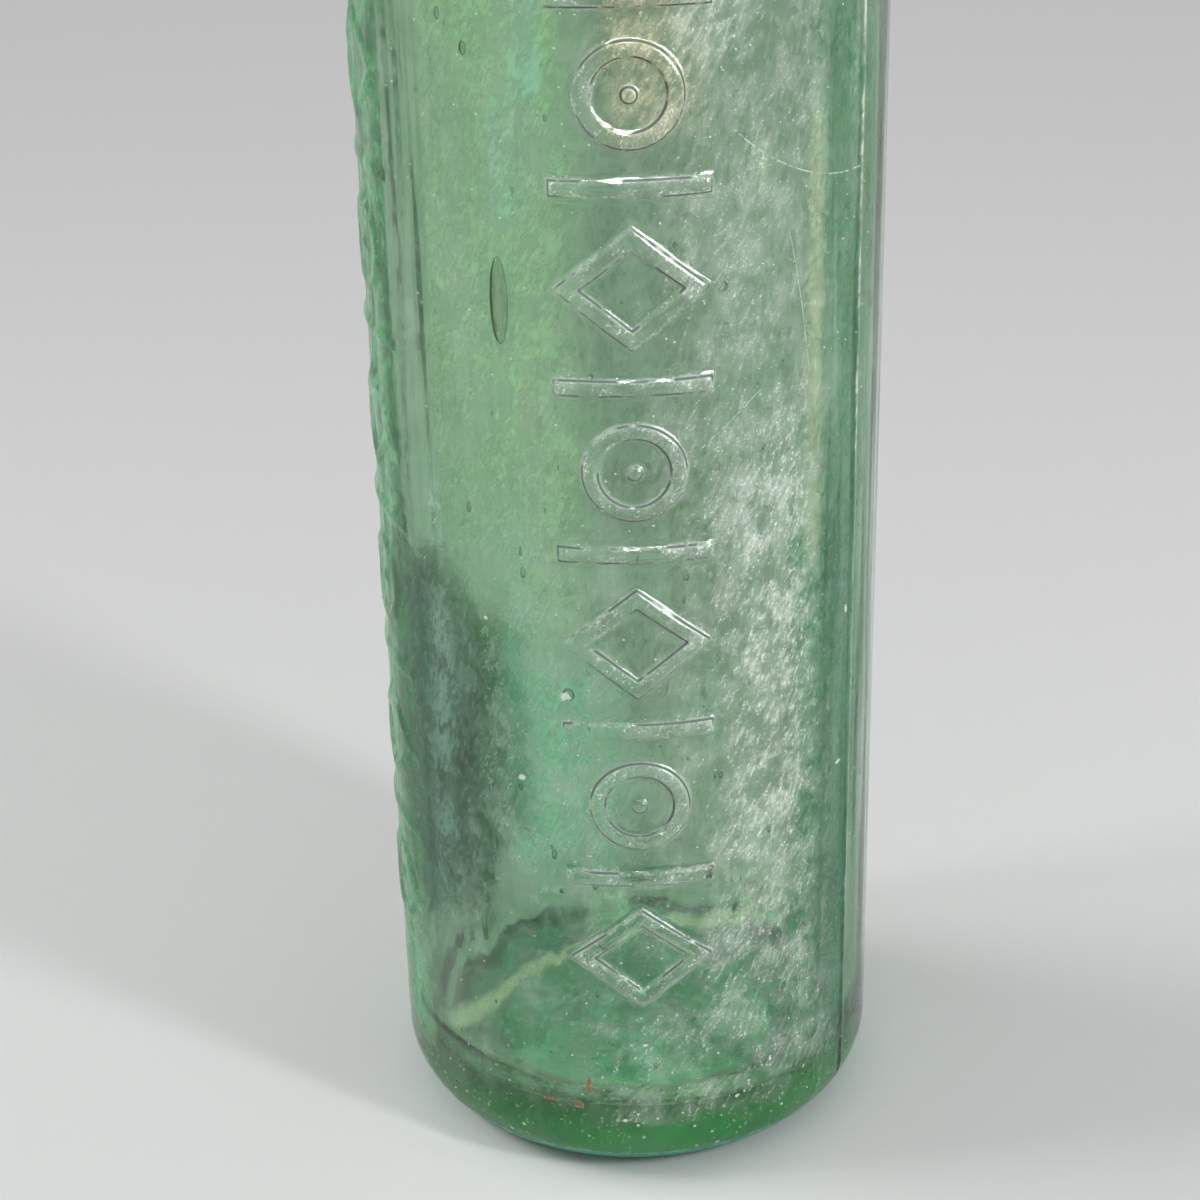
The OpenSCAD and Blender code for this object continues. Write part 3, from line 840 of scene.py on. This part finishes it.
def glassFinish():
    f = Finish("aquaGlass")
    x, y, z = f.axes()
    degrees = f.node("ShaderNodeMath", dict(operation="ARCTAN2"), {0: x, 1: 0 - y}) * (180 / math.pi)
    across, up = degrees * mmPerDegree, z * 1000
    outer, raised = f.attribute("outer"), f.attribute("raised")
    film, speck, tint = f.attribute("film"), f.attribute("speck"), f.attribute("tint", "Color")
    # tall streaks from the blowing, fine streaks and grains of the stain
    tall = f.noise(1, 1, f.stretched(grain["tall"]))
    streak = f.noise(1, 3, f.stretched(grain["streak"], grain["lean"]), 0.7)
    grit = f.noise(grain["grit"], 2, rough=0.75)
    coarse = f.noise(grain["coarse"], 2, rough=0.7)
    cloud = f.noise(grain["cloud"], 3, rough=0.65)
    fleck = coarse * 0.25 + grit * 0.4 + streak * 0.35
    lowest = 1 - f.step(up, *onset["heel"])
    cells = f.node("ShaderNodeTexVoronoi", {}, {"Vector": f.place, "Scale": grain["dots"]})
    dots = 1 - f.step(cells - speck * 0.03 - lowest * 0.04, *onset["dot"])
    dots = dots * f.step(coarse, *onset["dotGroup"])
    front = f.step(degrees, *onset["front"])
    # a pale rim along each stroke's bevel: partly worn residue, partly a painted highlight on the rims
    edge = raised * (1 - raised) * 4 * (0.15 + 0.85 * front)
    # veil is how much the crust hides the glass
    patchy = f.step(streak * 0.4 + coarse * 0.3 + cloud * 0.3, *onset["patch"])
    veil = film * (0.62 - 0.27 * outer + (0.85 + 0.45 * outer) * patchy)
    mist = f.step(cloud * 0.5 + coarse * 0.3 + streak * 0.2, *onset["mist"]) * cover["mist"]
    mist = mist + f.step(cloud * 0.1 + streak * 0.4 + grit * 0.5, *onset["spray"]) * cover["spray"]
    veil = veil + speck * mist * outer
    ticks = f.step(streak * 0.5 + grit * 0.5 + speck * 0.03 + lowest * 0.04, *onset["tick"])
    veil = veil + ticks * (cover["tick"] + speck * cover["speckTick"]) * outer
    # the strokes are worn pale along their edges, a pale rim that also paints their bright highlight,
    # with crumbs on top, and short dark lines of painted shade on the slopes
    worn = f.step(coarse * 0.5 + grit * 0.5, *onset["worn"])
    veil = veil + (edge * cover["edge"] + raised * cover["stroke"]) * (0.4 + 0.9 * worn)
    veil = veil + raised * front * f.step(fleck, *onset["crumb"]) * cover["crumb"]
    # painted shade: short dark lines on the stroke slopes, where the raised edges look dark
    shade = f.within(raised, 0.34, 0.68, 0.14) * front * f.step(coarse * 0.3 + cloud * 0.7, *onset["slopeShade"])
    veil = veil + shade * cover["slopeShade"]
    veil = f.most(veil, dots * outer * cover["dot"])
    for mark in scratches:
        thin = f.scratch(across, up, mark) * outer * f.step(grit, *onset["scratch"])
        veil = f.most(veil, thin * cover["scratch"])
    rusty = f.flakes(across, up, rustSpecks, fleck) * outer
    chipped = f.flakes(across, up, chips, fleck) * outer
    veil = f.most(f.most(veil, rusty * cover["rust"]), chipped * cover["chip"])
    away = ((x * 1000 - tide["x"]) ** 2 + (y * 1000 - tide["y"]) ** 2) ** 0.5 - tide["radius"]
    dried = (1 - f.step(f.size(away + (cloud - 0.5) * 2.5), 0.6, tide["width"])) * (1 - outer)
    dried = dried * (1 - f.step(up, *onset["dried"])) * (0.6 + 0.5 * streak)
    veil = f.most(veil, dried)
    # the painted shade on the stroke slopes darkens the colour there
    colour = f.mix(dried, f.mix(shade * 0.9, tint, crust["slopeShade"]), tide["colour"])
    colour = f.mix(chipped, f.mix(rusty, colour, crust["rust"]), crust["chip"])
    # the skin is wavy and pitted, but calm near the floor and on the strokes
    pits = f.step(grit, *onset["pit"]) * (0.4 + raised)
    calm = (0.2 + 0.8 * f.step(up, *onset["calm"])) * (1 - 0.6 * raised)
    normal = f.bump((tall * 0.8 - pits * 0.05) * calm, aqua["bumpDepth"], aqua["bumpStrength"])
    clear = f.node("ShaderNodeBsdfPrincipled", {}, {
        "Base Color": aqua["tint"], "Roughness": aqua["rough"] + film * aqua["filmRough"],
        "IOR": aqua["bend"], "Transmission Weight": 1.0, "Normal": normal})
    crusted = f.node("ShaderNodeBsdfPrincipled", {}, {
        "Base Color": colour, "Roughness": crust["rough"], "IOR": crust["bend"], "Normal": normal})
    surface = f.node("ShaderNodeMixShader", {}, {0: veil, 1: clear, 2: crusted})
    volume = f.node("ShaderNodeVolumeAbsorption", {}, {"Color": aqua["absorb"], "Density": aqua["density"]})
    return f.close(surface, volume)


ebonite = dict(dark=(0.016, 0.013, 0.012, 1), light=(0.045, 0.034, 0.026, 1), rubbed=(0.13, 0.10, 0.075, 1),
               cloud=120, fine=1400, rub=420, pits=900, rough=0.34, bend=1.55, bumpDepth=0.0004,
               bumpStrength=0.6, rubFrom=1.5 * mm, rubTo=0.5 * mm)


def eboniteFinish():
    # dull black, rubbed brown where fingers turn the head
    f = Finish("ebonite")
    e, rim = ebonite, stopper["headRadius"]
    x, y, z = f.axes()
    radius = f.node("ShaderNodeMath", dict(operation="SQRT"), {0: x * x + y * y})
    cloud = f.noise(e["cloud"], 4)
    fine = f.noise(e["fine"], 3)
    rub = f.step(f.noise(e["rub"], 4, rough=0.7), 0.45, 0.62)
    edge = f.step(radius, rim - e["rubFrom"], rim - e["rubTo"]) * rub
    colour = f.mix(f.step(cloud, 0.35, 0.7), e["dark"], e["light"])
    colour = f.mix(edge * 0.5, colour, e["rubbed"])
    pits = f.step(f.noise(e["pits"], 1), 0.70, 0.78)
    normal = f.bump(cloud * 0.3 + fine * 0.12 - pits * 0.5, e["bumpDepth"], e["bumpStrength"])
    rough = e["rough"] + cloud * 0.22 + edge * 0.1
    surface = f.node("ShaderNodeBsdfPrincipled", {}, {
        "Base Color": colour, "Roughness": rough, "IOR": e["bend"], "Normal": normal})
    return f.close(surface)


ringRubber = dict(dark=(0.20, 0.045, 0.022, 1), light=(0.33, 0.095, 0.045, 1), dust=(0.45, 0.22, 0.14, 1),
                  cloud=300, specks=1800, fine=2500, rough=0.62, bend=1.52, bumpDepth=0.0003,
                  bumpStrength=0.7)


def rubberFinish():
    f = Finish("ringRubber")
    r = ringRubber
    cloud = f.noise(r["cloud"], 4)
    specks = f.step(f.noise(r["specks"], 1), 0.66, 0.74)
    colour = f.mix(f.step(cloud, 0.3, 0.7), r["dark"], r["light"])
    colour = f.mix(specks * 0.5, colour, r["dust"])
    normal = f.bump(cloud * 0.6 + f.noise(r["fine"], 2) * 0.3, r["bumpDepth"], r["bumpStrength"])
    surface = f.node("ShaderNodeBsdfPrincipled", {}, {
        "Base Color": colour, "Roughness": r["rough"] + cloud * 0.2, "IOR": r["bend"], "Normal": normal})
    return f.close(surface)


for piece, finish, slot, node, body in (
    (glassBottle, glassFinish(), "aqua_glass", "glass_bottle", "bottle"),
    (screwStopper, eboniteFinish(), "ebonite", "screw_stopper", "stopper"),
    (sealingRing, rubberFinish(), "ring_rubber", "sealing_ring", "ring"),
):
    piece.data.materials.clear()
    piece.data.materials.append(finish)
    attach(piece, body)
    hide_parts(node)
print("finishes on")


# floor, light and camera

stage = dict(size=8.0, floor=(0.60, 0.60, 0.595, 1), floorRough=0.9, low=(0.44, 0.445, 0.45, 1),
             high=(0.62, 0.63, 0.64, 1), skyFrom=0.1, skyTo=0.8, lampTarget=(0, 0, 0.11))


def buildFloor():
    clearSelection()
    bpy.ops.mesh.primitive_plane_add(size=stage["size"], location=(0, 0, 0))
    floor = bpy.context.object
    floor.name = "floor"
    f = Finish("floorPaper")
    surface = f.node("ShaderNodeBsdfPrincipled", {}, {
        "Base Color": stage["floor"], "Roughness": stage["floorRough"], "Specular IOR Level": 0.0})
    floor.data.materials.append(f.close(surface))


def buildWorld():
    # a soft studio, a little darker at the horizon than above
    world = bpy.data.worlds.new("studio")
    bpy.context.scene.world = world
    world.use_nodes = True
    tree = world.node_tree
    tree.nodes.clear()
    place, split = tree.nodes.new("ShaderNodeTexCoord"), tree.nodes.new("ShaderNodeSeparateXYZ")
    rise, shade = tree.nodes.new("ShaderNodeMapRange"), tree.nodes.new("ShaderNodeMix")
    back, out = tree.nodes.new("ShaderNodeBackground"), tree.nodes.new("ShaderNodeOutputWorld")
    rise.interpolation_type = "SMOOTHSTEP"
    rise.inputs["From Min"].default_value = stage["skyFrom"]
    rise.inputs["From Max"].default_value = stage["skyTo"]
    shade.data_type = "RGBA"
    shade.inputs[6].default_value, shade.inputs[7].default_value = stage["low"], stage["high"]
    tree.links.new(place.outputs["Generated"], split.inputs[0])
    tree.links.new(split.outputs[2], rise.inputs["Value"])
    tree.links.new(rise.outputs[0], shade.inputs[0])
    tree.links.new(shade.outputs[2], back.inputs["Color"])
    tree.links.new(back.outputs[0], out.inputs[0])


lamps = dict(
    softSun=dict(place=(-0.75, 0.15, 0.65), spread=24, power=1.2, colour=(1.0, 0.99, 0.97)),
    leftWindow=dict(place=(-0.55, -0.10, 0.50), size=(0.10, 0.30), power=1.2, colour=(1.0, 1.0, 1.0)),
    rightWindow=dict(place=(0.50, -0.38, 0.45), size=(0.08, 0.18), power=2.4, colour=(0.98, 0.99, 1.0)),
    overhead=dict(place=(0.05, -0.36, 0.76), size=(0.60, 0.28), power=26, colour=(1.0, 1.0, 1.0),
                  glossOnly=True),
    sideCard=dict(place=(0.50, -0.32, 0.38), size=(0.34, 0.44), power=12, colour=(1.0, 1.0, 1.0),
                  glossOnly=True),
)


def buildLamps():
    target = Vector(stage["lampTarget"])
    for name, lamp in lamps.items():
        if "spread" in lamp:  # an even light from far away
            light = bpy.data.lights.new(name, "SUN")
            light.angle = math.radians(lamp["spread"])
        else:
            light = bpy.data.lights.new(name, "AREA")
            light.shape = "RECTANGLE"
            light.size, light.size_y = lamp["size"]
        light.energy = lamp["power"]
        light.color = lamp["colour"]
        piece = bpy.data.objects.new(name, light)
        piece.location = lamp["place"]
        piece.rotation_euler = (target - Vector(lamp["place"])).to_track_quat("-Z", "Y").to_euler()
        # two of them only show in reflections, as a softbox card does
        piece.visible_diffuse = piece.visible_transmission = not lamp.get("glossOnly", False)
        bpy.context.scene.collection.objects.link(piece)


# the photo's camera: 2600 pixels of focal length in a picture 1200 wide, 4.811 body widths away and
# 3.403 up, turned by these degrees
view = dict(focal=2600 / 1200, away=4.811 * 76 * mm, up=3.403 * 76 * mm, pitch=25.63, roll=-1.3, yaw=-0.72,
            sensor=36, near=0.01, far=50)


def buildCamera():
    camera = bpy.data.cameras.new("camera")
    camera.sensor_width = view["sensor"]
    camera.lens = view["sensor"] * view["focal"]
    camera.clip_start, camera.clip_end = view["near"], view["far"]
    piece = bpy.data.objects.new("camera", camera)
    piece.location = (0, -view["away"], view["up"])
    pitch, roll, yaw = (math.radians(view[k]) for k in ("pitch", "roll", "yaw"))
    ahead = Vector((math.sin(yaw) * math.cos(pitch), math.cos(yaw) * math.cos(pitch), -math.sin(pitch)))
    right = Vector((math.cos(yaw), -math.sin(yaw), 0))
    up = right.cross(ahead)
    rightRolled = right * math.cos(roll) + up * math.sin(roll)
    upRolled = up * math.cos(roll) - right * math.sin(roll)
    turn = Matrix((rightRolled, upRolled, -ahead)).transposed()
    piece.rotation_euler = turn.to_euler()
    bpy.context.scene.collection.objects.link(piece)
    bpy.context.scene.camera = piece


buildFloor()
buildWorld()
buildLamps()
buildCamera()
bpy.context.scene.view_settings.view_transform = "Standard"

print("stage ready")
